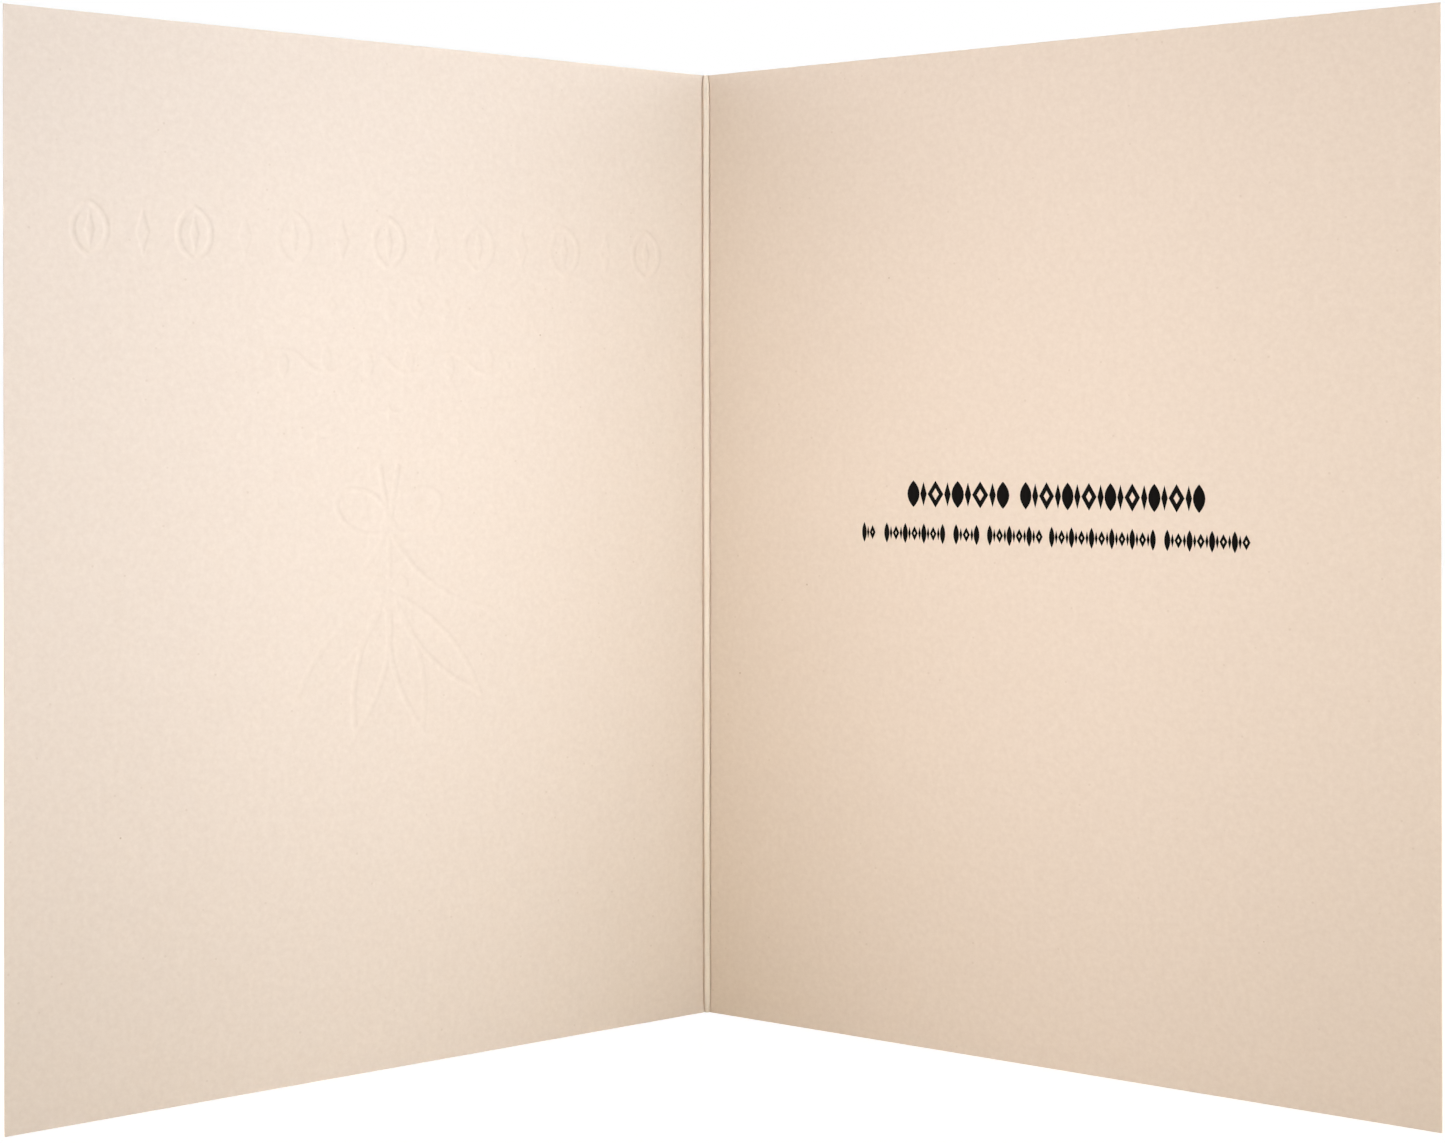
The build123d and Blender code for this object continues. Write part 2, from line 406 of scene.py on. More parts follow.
@dataclass(frozen=True)
class CoverOrnaments:
    """The cover's blind-embossed ornaments: a frieze, lozenges, a vine and a bow-tied sprig.

    The die strikes a little unevenly: hardest in the frieze and towards both sides of the cover, and
    softer towards the foot. The strike is given at some distances from the head.
    """

    stance: OpenStance
    relief: float = 0.08 * MM
    shoulder: float = 0.34 * MM
    line: float = 0.8 * MM
    strike_drops: tuple[float, ...] = (40.0 * MM, 46.0 * MM, 57.0 * MM, 65.0 * MM, 95.0 * MM)
    strike_shares: tuple[float, ...] = (1.05, 0.72, 1.06, 0.80, 0.70)
    strike_sides: float = 0.9

    frieze_drop: float = 30.0 * MM
    frieze_margin: float = 8.5 * MM
    frieze_height: float = 9.5 * MM
    frieze_pitch: float = 8.4 * MM
    frieze_leaf_width: float = 6.2 * MM
    rib_height: float = 5.6 * MM
    rib_width: float = 1.4 * MM
    dart_height: float = 7.0 * MM
    dart_width: float = 2.2 * MM

    lozenge_drop: float = 44.0 * MM
    lozenge_height: float = 4.0 * MM
    lozenge_width: float = 2.4 * MM
    lozenge_pitch: float = 5.2 * MM
    lozenge_count: int = 5

    vine_drop: float = 55.5 * MM
    vine_wave: float = 15.0 * MM
    vine_waves: int = 3
    vine_rise: float = 1.8 * MM
    vine_leaf_length: float = 4.6 * MM
    vine_leaf_width: float = 1.8 * MM

    sprig_drop: float = 84.0 * MM
    knot_radius: float = 1.5 * MM
    loop_length: float = 11.0 * MM
    loop_width: float = 7.6 * MM
    loop_tilt: float = 30.0
    stem_length: float = 11.0 * MM
    stem_spread: float = 9.0
    tail_end: tuple[float, float] = (19.0 * MM, -15.0 * MM)
    tail_bow: float = 3.0 * MM
    fork_drop: float = 11.0 * MM
    leaf_length: float = 26.0 * MM
    leaf_width: float = 5.8 * MM
    leaf_angles: tuple[float, ...] = (-42.0, -14.0, 14.0, 42.0)
    berry_radius: float = 1.6 * MM
    berry_ring_radius: float = 2.1 * MM
    berry_angles: tuple[float, ...] = (-90.0, 30.0, 150.0)

    star_count: int = 5
    star_height: float = 3.4 * MM
    star_waist: float = 0.84 * MM
    star_arc: float = 160.0
    star_arc_radius: float = 20.0 * MM

    def oval_line(self, x: np.ndarray, y: np.ndarray, height: float, width: float) -> np.ndarray:
        """A pointed oval drawn as a line of even width inside its outline."""
        return np.abs(pointed_oval(x, y, height, width) + self.line / 2) - self.line / 2

    def frieze(self, x: np.ndarray, y: np.ndarray) -> np.ndarray:
        """Leaves with a slim rib, and darts, by turns, folded onto the nearest one of the row."""
        count = math.floor((self.stance.leaf_width - 2 * self.frieze_margin) / self.frieze_pitch)
        start = -(count - 1) / 2 * self.frieze_pitch
        index = np.clip(np.round((x - start) / self.frieze_pitch), 0, count - 1)
        x = x - start - index * self.frieze_pitch
        leaf = self.oval_line(x, y, self.frieze_height, self.frieze_leaf_width)
        rib = lozenge(x, y, self.rib_height, self.rib_width)
        dart = lozenge(x, y, self.dart_height, self.dart_width)
        return np.where(index % 2, dart, np.minimum(leaf, rib))

    def lozenges(self, x: np.ndarray, y: np.ndarray) -> np.ndarray:
        """A short row of small diamonds, folded onto the nearest one."""
        last = (self.lozenge_count - 1) / 2
        index = np.clip(np.round(x / self.lozenge_pitch), -last, last)
        return lozenge(x - index * self.lozenge_pitch, y, self.lozenge_height, self.lozenge_width)

    def vine(self, x: np.ndarray, y: np.ndarray) -> np.ndarray:
        """A waved stem of equal arcs, with one leaf in each arc's hollow."""
        half_wave = self.vine_wave / 2
        nearest = np.full(x.shape, np.inf)
        for index in range(2 * self.vine_waves):
            side = 1 if index % 2 else -1
            left = (index - self.vine_waves) * half_wave
            arc = arc_line(x, y, (left, 0), (left + half_wave, 0), side * self.vine_rise, self.line)
            middle = side * (self.vine_rise - self.vine_leaf_length / 2)
            leaf = pointed_oval(
                x - left - half_wave / 2, y - middle, self.vine_leaf_length, self.vine_leaf_width
            )
            nearest = np.minimum(nearest, np.minimum(arc, leaf))
        return nearest

    def bow(self, x: np.ndarray, y: np.ndarray) -> np.ndarray:
        """A knot with a loop, a stem end and a ribbon tail on either side, folded onto one side."""
        x = np.abs(x)
        loop_x, loop_y = turned(x, y, self.loop_tilt)
        loop_x = loop_x - self.loop_length / 2
        outer = ellipse(loop_x, loop_y, self.loop_length, self.loop_width)
        lines = 2 * self.line
        inner = ellipse(loop_x, loop_y, self.loop_length - lines, self.loop_width - lines)
        spread = math.radians(self.stem_spread)
        reach = self.stem_length - self.line / 2
        stem = straight_line(x, y, (reach * math.sin(spread), reach * math.cos(spread)), self.line)
        tail = arc_line(x, y, (0, 0), self.tail_end, -self.tail_bow, self.line)
        knot = np.hypot(x, y) - self.knot_radius
        return np.minimum.reduce([knot, np.maximum(outer, -inner), stem, tail])

    def sprig(self, x: np.ndarray, y: np.ndarray) -> np.ndarray:
        """A stem into a fork, slim leaves hanging from the fork, and berries round it."""
        shapes = [straight_line(x, y, (0, -self.fork_drop - self.line), self.line)]
        y = y + self.fork_drop
        for angle in self.leaf_angles:
            leaf_x, leaf_y = turned(x, y, angle)
            leaf_y = leaf_y + self.leaf_length / 2
            shapes.append(self.oval_line(leaf_x, leaf_y, self.leaf_length, self.leaf_width))
        for angle in self.berry_angles:
            berry_x, berry_y = turned(x, y, angle)
            shapes.append(np.hypot(berry_x - self.berry_ring_radius, berry_y) - self.berry_radius)
        return np.minimum.reduce(shapes)

    def stars(self, x: np.ndarray, y: np.ndarray) -> np.ndarray:
        """Small four-pointed stars on an arc over the bow, each of two crossed diamonds."""
        nearest = np.full(x.shape, np.inf)
        half_arc = math.radians(self.star_arc / 2)
        for lean in np.linspace(-half_arc, half_arc, self.star_count):
            star_x = x - self.star_arc_radius * math.sin(lean)
            star_y = y - self.star_arc_radius * math.cos(lean)
            upright = lozenge(star_x, star_y, self.star_height, self.star_waist)
            level = lozenge(star_x, star_y, self.star_waist, self.star_height)
            nearest = np.minimum(nearest, np.minimum(upright, level))
        return nearest

    def distance(self, across: np.ndarray, up: np.ndarray) -> np.ndarray:
        """How far each place is outside the nearest ornament, the least over all groups.

        Args:
            across: Distances from the fold on the cover.
            up: Heights above the foot.

        Returns:
            The signed distance, negative inside an ornament.
        """
        x = across - self.stance.leaf_width / 2
        down = self.stance.leaf_height - up
        sprig_y = self.sprig_drop - down
        return np.minimum.reduce(
            [
                self.frieze(x, self.frieze_drop + self.frieze_height / 2 - down),
                self.lozenges(x, self.lozenge_drop + self.lozenge_height / 2 - down),
                self.vine(x, self.vine_drop - down),
                self.bow(x, sprig_y),
                self.sprig(x, sprig_y),
                self.stars(x, sprig_y),
            ]
        )

    def strike(self, across: np.ndarray, up: np.ndarray) -> np.ndarray:
        """How hard the die strikes: a broken line down the cover, times a flat bowl across it.

        The bowl is one plus a share of the fourth power of the way from the leaf's middle to its side.

        Args:
            across: Distances from the fold on the cover.
            up: Heights above the foot.

        Returns:
            The strike, about 1.
        """
        down = self.stance.leaf_height - up
        side = 2 * across / self.stance.leaf_width - 1
        bowl = 1 + self.strike_sides * side**4
        return np.interp(down, self.strike_drops, self.strike_shares) * bowl

    def height(self, across: np.ndarray, up: np.ndarray) -> np.ndarray:
        """How far the board is pressed out: an S-shaped shoulder across each ornament's outline."""
        share = smooth_step(0.5 - self.distance(across, up) / self.shoulder)
        return self.relief * self.strike(across, up) * share


@dataclass(frozen=True)
class Flecks:
    """Darker fibres in the board: about how far apart and how large, and how strongly they show."""

    spacing: float
    size: float
    strength: float


@dataclass(frozen=True)
class IvoryBoard:
    """Uncoated ivory card board, machine-made: a matt warm white, softly cloudy, with a few fibres.

    Along the fold the board is painted a shade paler: a painted highlight on the crease's bead, for
    the light it catches.
    The tooth of real board is finer than 0.1 mm. It is drawn as coarse as it must be to show.
    """

    colour: str = "#F4E5D8"
    cloud_colour: str = "#E4D2C3"
    # Painted highlight: the paler colour along the fold, for the light on the crease's bead.
    fold_highlight_colour: str = "#FFF4E8"
    fleck_colour: str = "#B99C7E"
    edge_colour: str = "#CFB79B"
    roughness: float = 0.86
    shine: float = 0.3
    edge_roughness: float = 0.95
    edge_shine: float = 0.2
    cloud_size: float = 0.9 * MM
    cloud_detail: float = 4.0
    cloud_roughness: float = 0.65
    # The painted highlight's band along the fold: its width, the share of it at full strength, and its
    # strength.
    fold_highlight_width: float = 1.0 * MM
    fold_highlight_core: float = 0.8
    fold_highlight_strength: float = 0.65
    tooth_size: float = 0.22 * MM
    tooth_detail: float = 3.0
    tooth_roughness: float = 0.6
    tooth_depth: float = 0.006 * MM
    edge_tooth_depth: float = 0.012 * MM
    flecks: tuple[Flecks, ...] = (
        Flecks(spacing=11.0 * MM, size=0.20 * MM, strength=0.65),
        Flecks(spacing=3.9 * MM, size=0.26 * MM, strength=0.19),
    )

    def matt_surface(
        self,
        tree: bpy.types.NodeTree,
        place: bpy.types.NodeSocket,
        colour: bpy.types.NodeSocket | tuple[float, ...],
        depth: float,
        surface: tuple[float, float],
    ) -> None:
        """Adds the matt surface with the paper's tooth, a fine unevenness that breaks up the light.

        Args:
            tree: The material's tree.
            place: The coordinates that the tooth reads.
            colour: The surface's colour, or the socket that gives it.
            depth: How deep the tooth is.
            surface: The surface's roughness and how much it shines.
        """
        scale = 1 / self.tooth_size
        pattern = {"Scale": scale, "Detail": self.tooth_detail, "Roughness": self.tooth_roughness}
        grain = add_node(tree, "ShaderNodeTexNoise", {"Vector": place, **pattern})
        relief = {"Height": grain.outputs[0], "Distance": depth, "Strength": 1.0}
        tooth = add_node(tree, "ShaderNodeBump", relief)
        look = {"Roughness": surface[0], "Specular IOR Level": surface[1], "Normal": tooth.outputs[0]}
        shader = add_node(tree, "ShaderNodeBsdfPrincipled", {"Base Color": colour, **look})
        add_node(tree, "ShaderNodeOutputMaterial", {"Surface": shader.outputs[0]})

    def sheet(self) -> bpy.types.Material:
        """The board's face: cloudy ivory with a painted highlight along the fold, and sparse darker
        fibres.
        """
        material, tree = new_material("ivory_board_uncoated")
        place = add_node(tree, "ShaderNodeTexCoord").outputs["Object"]
        scale = 1 / self.cloud_size
        pattern = {"Scale": scale, "Detail": self.cloud_detail, "Roughness": self.cloud_roughness}
        cloud = add_node(tree, "ShaderNodeTexNoise", {"Vector": place, **pattern})
        shades = {COLOUR_A: linear(self.colour), COLOUR_B: linear(self.cloud_colour)}
        tone = add_node(
            tree, "ShaderNodeMix", {"Factor": cloud.outputs[0], **shades}, data_type="RGBA"
        )
        # A painted highlight: a pale band along the fold, set by the distance from it, for the light
        # on the crease's bead. The flecks after it are the board's own darker fibres.
        across = add_node(tree, "ShaderNodeSeparateXYZ", {"Vector": place}).outputs["X"]
        off_fold = add_node(tree, "ShaderNodeMath", {0: across}, operation="ABSOLUTE")
        edge = self.fold_highlight_width / 2
        highlight_and_flecks = [(off_fold.outputs[0], edge, self.fold_highlight_core * edge, self.fold_highlight_strength)]
        for flecks in self.flecks:
            spots = {"Vector": place, "Scale": 1 / flecks.spacing}
            cells = add_node(tree, "ShaderNodeTexVoronoi", spots)
            size = flecks.size / flecks.spacing
            highlight_and_flecks.append((cells.outputs["Distance"], size, size / 2, flecks.strength))
        colour = tone.outputs[COLOUR_OUT]
        highlight_and_fleck_colours = [self.fold_highlight_colour] + [self.fleck_colour] * len(self.flecks)
        for (distance, outer, inner, strength), layer_colour in zip(highlight_and_flecks, highlight_and_fleck_colours):
            reach = {"From Min": outer, "From Max": inner, "To Min": 0.0, "To Max": strength}
            share = add_node(tree, "ShaderNodeMapRange", {"Value": distance, **reach}).outputs[0]
            mixed = {"Factor": share, COLOUR_A: colour, COLOUR_B: linear(layer_colour)}
            colour = add_node(tree, "ShaderNodeMix", mixed, data_type="RGBA").outputs[COLOUR_OUT]
        self.matt_surface(tree, place, colour, self.tooth_depth, (self.roughness, self.shine))
        return material

    def cut_edge(self) -> bpy.types.Material:
        """The guillotined edge: the board's open fibres, a shade darker and rougher than its face."""
        material, tree = new_material("ivory_board_cut_edge")
        place = add_node(tree, "ShaderNodeTexCoord").outputs["Object"]
        surface = (self.edge_roughness, self.edge_shine)
        self.matt_surface(tree, place, linear(self.edge_colour), self.edge_tooth_depth, surface)
        return material


@dataclass(frozen=True)
class PrintingInk:
    """Black offset ink on uncoated board: a little brown, and matt where it has soaked in.

    Real mottle is as fine as the fibres, about 0.03 mm. It is drawn as coarse as it must be to show.
    """

    colour: str = "#040302"
    worn_colour: str = "#0A0706"
    roughness: float = 0.6
    shine: float = 0.05
    mottle_size: float = 0.12 * MM
    mottle_detail: float = 2.0

    def material(self) -> bpy.types.Material:
        """The ink with the slight mottle that the board's tooth gives it."""
        material, tree = new_material("black_offset_ink")
        place = add_node(tree, "ShaderNodeTexCoord").outputs["Object"]
        pattern = {"Vector": place, "Scale": 1 / self.mottle_size, "Detail": self.mottle_detail}
        mottle = add_node(tree, "ShaderNodeTexNoise", pattern)
        shades = {COLOUR_A: linear(self.colour), COLOUR_B: linear(self.worn_colour)}
        colour = add_node(
            tree, "ShaderNodeMix", {"Factor": mottle.outputs[0], **shades}, data_type="RGBA"
        )
        look = {"Roughness": self.roughness, "Specular IOR Level": self.shine}
        ink = {"Base Color": colour.outputs[COLOUR_OUT], **look}
        shader = add_node(tree, "ShaderNodeBsdfPrincipled", ink)
        add_node(tree, "ShaderNodeOutputMaterial", {"Surface": shader.outputs[0]})
        return material


@dataclass
class CardSheet:
    """The whole folded sheet as one closed mesh, fine where the cover is embossed, coarse elsewhere.

    The sheet is laid out flat as blocks, in columns across and rows up. Every block is a fine
    lattice of points, of which only those are kept that the shape needs. A block far from the
    ornaments is one face, a block near them is cells, and a cell that an ornament touches is the
    lattice's own small faces. A large face takes in every kept point on its rim, so nothing gapes.
    """

    stance: OpenStance
    fold: CreasedFold
    ornaments: CoverOrnaments
    board: IvoryBoard
    block: int = 36
    cell: int = 4
    blocks_across: int = 16
    blocks_up: int = 22
    arris: float = 0.05 * MM
    snap: float = 0.35
    least_steepness: float = 0.25
    edge_steps_mm: tuple[float, ...] = (0.0, 0.015, 0.05, 0.15, 0.5, 1.2)
    end_steps_mm: tuple[float, ...] = (0.0, 0.015, 0.05, 0.15, 0.5, 1.0, 1.6, 2.2, 3.0)
    rows: np.ndarray = field(init=False)
    leaf_columns: np.ndarray = field(init=False)

    def __post_init__(self) -> None:
        """Works out the rows of blocks up the sheet, and the columns on one leaf beyond the fold."""
        height, width = self.stance.leaf_height, self.stance.leaf_width
        ends, edges = np.array(self.end_steps_mm) * MM, np.array(self.edge_steps_mm) * MM
        middle = np.linspace(ends[-1], height - ends[-1], self.blocks_up + 1)[1:-1]
        self.rows = np.concatenate([ends, middle, (height - ends)[::-1]])
        face = np.linspace(self.fold.reach, width - edges[-1], self.blocks_across + 1)[:-1]
        self.leaf_columns = np.concatenate([face, (width - edges)[::-1]])

    def thinning(self, across: np.ndarray) -> np.ndarray:
        """How much each face draws in near a cut edge: a quarter round, the arris."""
        width, height = self.stance.leaf_width, self.stance.leaf_height
        side = np.minimum(self.rows, height - self.rows)[None, :]
        edge = np.minimum(side, (width - np.abs(across))[:, None])
        inset = np.clip(self.arris - edge, 0, self.arris)
        return self.arris - np.sqrt(self.arris**2 - inset**2)

    def face_grid(self, sections: tuple[np.ndarray, np.ndarray], side: int) -> np.ndarray:
        """The block corners of one face of the sheet.

        Args:
            sections: The face's section at the fold on the cover's side and on the back leaf's, each
                drawn for the back leaf, as stations by rows by X and Y.
            side: 1 for the inside face and -1 for the outside face.

        Returns:
            Points, as an array of columns by rows by three, from the cover's edge to the back leaf's.
        """
        thin = self.thinning(self.leaf_columns)
        leaf = self.stance.in_plan(self.leaf_columns[:, None], side * (self.stance.board / 2 - thin))
        at_fold = self.thinning(np.zeros(1))[0]
        drawn_in = np.stack([np.zeros_like(at_fold), side * at_fold], axis=-1)
        cover, back = (np.concatenate([section[:-1] + drawn_in, leaf]) for section in sections)
        plan = np.concatenate([cover[:0:-1] * (-1, 1), back])
        up = np.broadcast_to(self.rows, plan.shape[:2])
        return np.concatenate([plan, up[..., None]], axis=-1)

    def lattice(self) -> tuple[np.ndarray, np.ndarray]:
        """The flat layout's finest points: distance across, below nought on the cover, and height."""
        inner = np.linspace(0, self.fold.reach, self.fold.steps + 1)[:-1]
        half = np.concatenate([inner, self.leaf_columns])
        columns = np.concatenate([-half[:0:-1], half])

        def fine(stations: np.ndarray) -> np.ndarray:
            """Divides every block evenly into its steps."""
            places = np.arange((len(stations) - 1) * self.block + 1) / self.block
            return np.interp(places, np.arange(len(stations)), stations)

        return fine(columns), fine(self.rows)

    @staticmethod
    def spread(cells: np.ndarray, stride: int, shape: tuple[int, int], every: int) -> np.ndarray:
        """Marks the points of the chosen cells.

        Args:
            cells: Which cells are chosen, by column and row.
            stride: A cell's side, in lattice steps.
            shape: The lattice's size.
            every: Only each such point of a cell is marked.

        Returns:
            A mask over the lattice, rims of the cells included.
        """
        mask = np.zeros(shape, bool)
        column, row = np.nonzero(cells)
        for i in range(0, stride + 1, every):
            for j in range(0, stride + 1, every):
                mask[column * stride + i, row * stride + j] = True
        return mask

    @staticmethod
    def faces(cells: np.ndarray, stride: int, number: np.ndarray) -> tuple[np.ndarray, np.ndarray]:
        """One face for each chosen cell, through every kept point on its rim.

        Args:
            cells: Which cells are chosen, by column and row.
            stride: A cell's side, in lattice steps.
            number: The vertex number of each lattice point, and -1 where the point isn't kept.

        Returns:
            All faces' corners, and each face's number of corners.
        """
        column, row = np.nonzero(cells)
        step, none, full = np.arange(stride), np.zeros(stride, int), np.full(stride, stride)
        rim_x = np.concatenate([step, full, stride - step, none])
        rim_y = np.concatenate([none, step, full, stride - step])
        rim = number[column[:, None] * stride + rim_x, row[:, None] * stride + rim_y]
        kept = rim >= 0
        return rim[kept], kept.sum(1)

    def mesh_parts(self) -> tuple[np.ndarray, np.ndarray, np.ndarray, np.ndarray]:
        """Works out the closed sheet.

        Returns:
            Points, corners, face sizes, and which faces are cut edge.
        """
        across, up = self.lattice()
        shape = (len(across), len(up))
        distance = np.full(shape, np.inf)
        cover = across < -self.fold.reach
        distance[cover] = self.ornaments.distance(-across[cover][:, None], up[None, :])
        foot = self.ornaments.shoulder / 2
        spacing = float(np.diff(up).max())

        touched = self.any_in_cell(distance < foot + spacing, self.cell)
        busy = self.any_in_cell(touched, self.block // self.cell, cells=True)
        in_busy = np.kron(busy, np.ones((self.block // self.cell,) * 2, bool))
        kept = self.spread(np.ones_like(busy), self.block, shape, self.block)
        kept |= self.spread(busy, self.block, shape, self.cell)
        kept |= self.spread(touched, self.cell, shape, 1)
        number = np.full(shape, -1)
        number[kept] = np.arange(kept.sum())

        small = np.kron(touched, np.ones((self.cell, self.cell), bool))
        parts = [
            self.faces(~busy, self.block, number),
            self.faces(in_busy & ~touched, self.cell, number),
            self.faces(small, 1, number),
        ]
        corners = np.concatenate([part[0] for part in parts])
        sizes = np.concatenate([part[1] for part in parts])

        column, row = np.nonzero(kept)
        shift_x, shift_y = self.drawn_to_outline(across, up, distance, spacing)
        moved = self.ornaments.height(-across[column] - shift_x[kept], up[row] + shift_y[kept])
        moved[across[column] >= -self.fold.reach] = 0
        on_leaf = self.stance.along * (-1, 1)
        off_leaf = self.stance.inward * (-1, 1)
        shift = np.empty((len(column), 3))
        shift[:, :2] = -shift_x[kept][:, None] * on_leaf - moved[:, None] * off_leaf
        shift[:, 2] = shift_y[kept]
        outer = self.fold.outside(self.rows)
        inside = self.between(self.face_grid(self.fold.insides(self.rows), 1), column, row) + shift
        outside = self.between(self.face_grid((outer, outer), -1), column, row) + shift

        rim = self.rim(number)
        after = np.roll(rim, -1)
        count = len(inside)
        edge = np.stack([after, rim, rim + count, after + count], axis=1)
        back = self.reversed_faces(corners, sizes) + count
        points = np.concatenate([inside, outside])
        all_corners = np.concatenate([corners, back, edge.ravel()])
        all_sizes = np.concatenate([sizes, sizes, np.full(len(edge), 4)])
        is_edge = np.arange(len(all_sizes)) >= 2 * len(sizes)
        return points, all_corners, all_sizes, is_edge

    @staticmethod
    def any_in_cell(mask: np.ndarray, stride: int, cells: bool = False) -> np.ndarray:
        """Whether each square of that many steps holds a mark.

        Args:
            mask: The marks, on the lattice's points or on its cells.
            stride: The square's side, in steps.
            cells: Whether the marks are on cells. A square of points takes in its whole rim.

        Returns:
            A mask over the squares.
        """
        columns, rows = ((size - (not cells)) // stride for size in mask.shape)
        found = np.zeros((columns, rows), bool)
        for i in range(stride + (not cells)):
            for j in range(stride + (not cells)):
                found |= mask[i::stride, j::stride][:columns, :rows]
        return found

    def drawn_to_outline(
        self, across: np.ndarray, up: np.ndarray, distance: np.ndarray, spacing: float
    ) -> tuple[np.ndarray, np.ndarray]:
        """Draws points that are close to a shoulder's head or foot onto it, so that it runs smoothly.

        A point moves along the distance's own slope, by the distance that is left to go. Where the
        slope is all but flat it counts as a steeper one, so that no point jumps.

        Args:
            across: The lattice's places across.
            up: The lattice's places up.
            distance: The distance to the nearest ornament at each lattice point.
            spacing: The widest step between lattice points.

        Returns:
            The shift towards the fold's far side, and the shift up, at each lattice point.
        """
        near = np.isfinite(distance)
        flat = np.where(near, distance, 0.0)
        slope_x, slope_y = np.gradient(flat, -across, up)
        steepness = np.maximum(slope_x**2 + slope_y**2, self.least_steepness)
        shift = np.zeros_like(flat)
        for level in (self.ornaments.shoulder / 2, -self.ornaments.shoulder / 2):
            left = level - distance
            shift = np.where(near & (np.abs(left) < self.snap * spacing), left, shift)
        return -shift * slope_x / steepness, shift * slope_y / steepness

    def between(self, grid: np.ndarray, column: np.ndarray, row: np.ndarray) -> np.ndarray:
        """Places lattice points by straight mixing of the four corners of their block."""
        left = np.minimum(column // self.block, grid.shape[0] - 2)
        low = np.minimum(row // self.block, grid.shape[1] - 2)
        x = (column / self.block - left)[:, None]
        y = (row / self.block - low)[:, None]
        foot = (1 - x) * grid[left, low] + x * grid[left + 1, low]
        head = (1 - x) * grid[left, low + 1] + x * grid[left + 1, low + 1]
        return (1 - y) * foot + y * head

    @staticmethod
    def reversed_faces(corners: np.ndarray, sizes: np.ndarray) -> np.ndarray:
        """The same faces turned to look the other way."""
        start = np.repeat(np.cumsum(sizes) - sizes, sizes)
        place = np.arange(len(corners)) - start
        return corners[start + np.repeat(sizes, sizes) - 1 - place]

    @staticmethod
    def rim(number: np.ndarray) -> np.ndarray:
        """The kept points round the sheet, in the order in which the inside's faces run."""
        loop = np.concatenate([number[:-1, 0], number[-1, :-1], number[:0:-1, -1], number[0, :0:-1]])
        return loop[loop >= 0]

    def build(self) -> bpy.types.Object:
        """Makes the sheet, dresses it, and lets it stand for the solid sheet."""
        points, corners, sizes, is_edge = self.mesh_parts()
        piece = new_piece("card_sheet", points, corners, sizes)
        piece.data.materials.append(self.board.sheet())
        piece.data.materials.append(self.board.cut_edge())
        piece.data.polygons.foreach_set("material_index", is_edge.astype(np.int32))
        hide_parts("folded_card")
        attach(piece, "root")
        return piece


class Motif(Enum):
    """The printed ornaments, each by its height and its room across as shares of the row's height."""

    LEAF = (1.0, 0.42)
    TALL_LEAF = (1.4, 0.42)
    HOLLOW_LOZENGE = (1.0, 0.54)
    SLIM_LOZENGE = (0.9, 0.22)


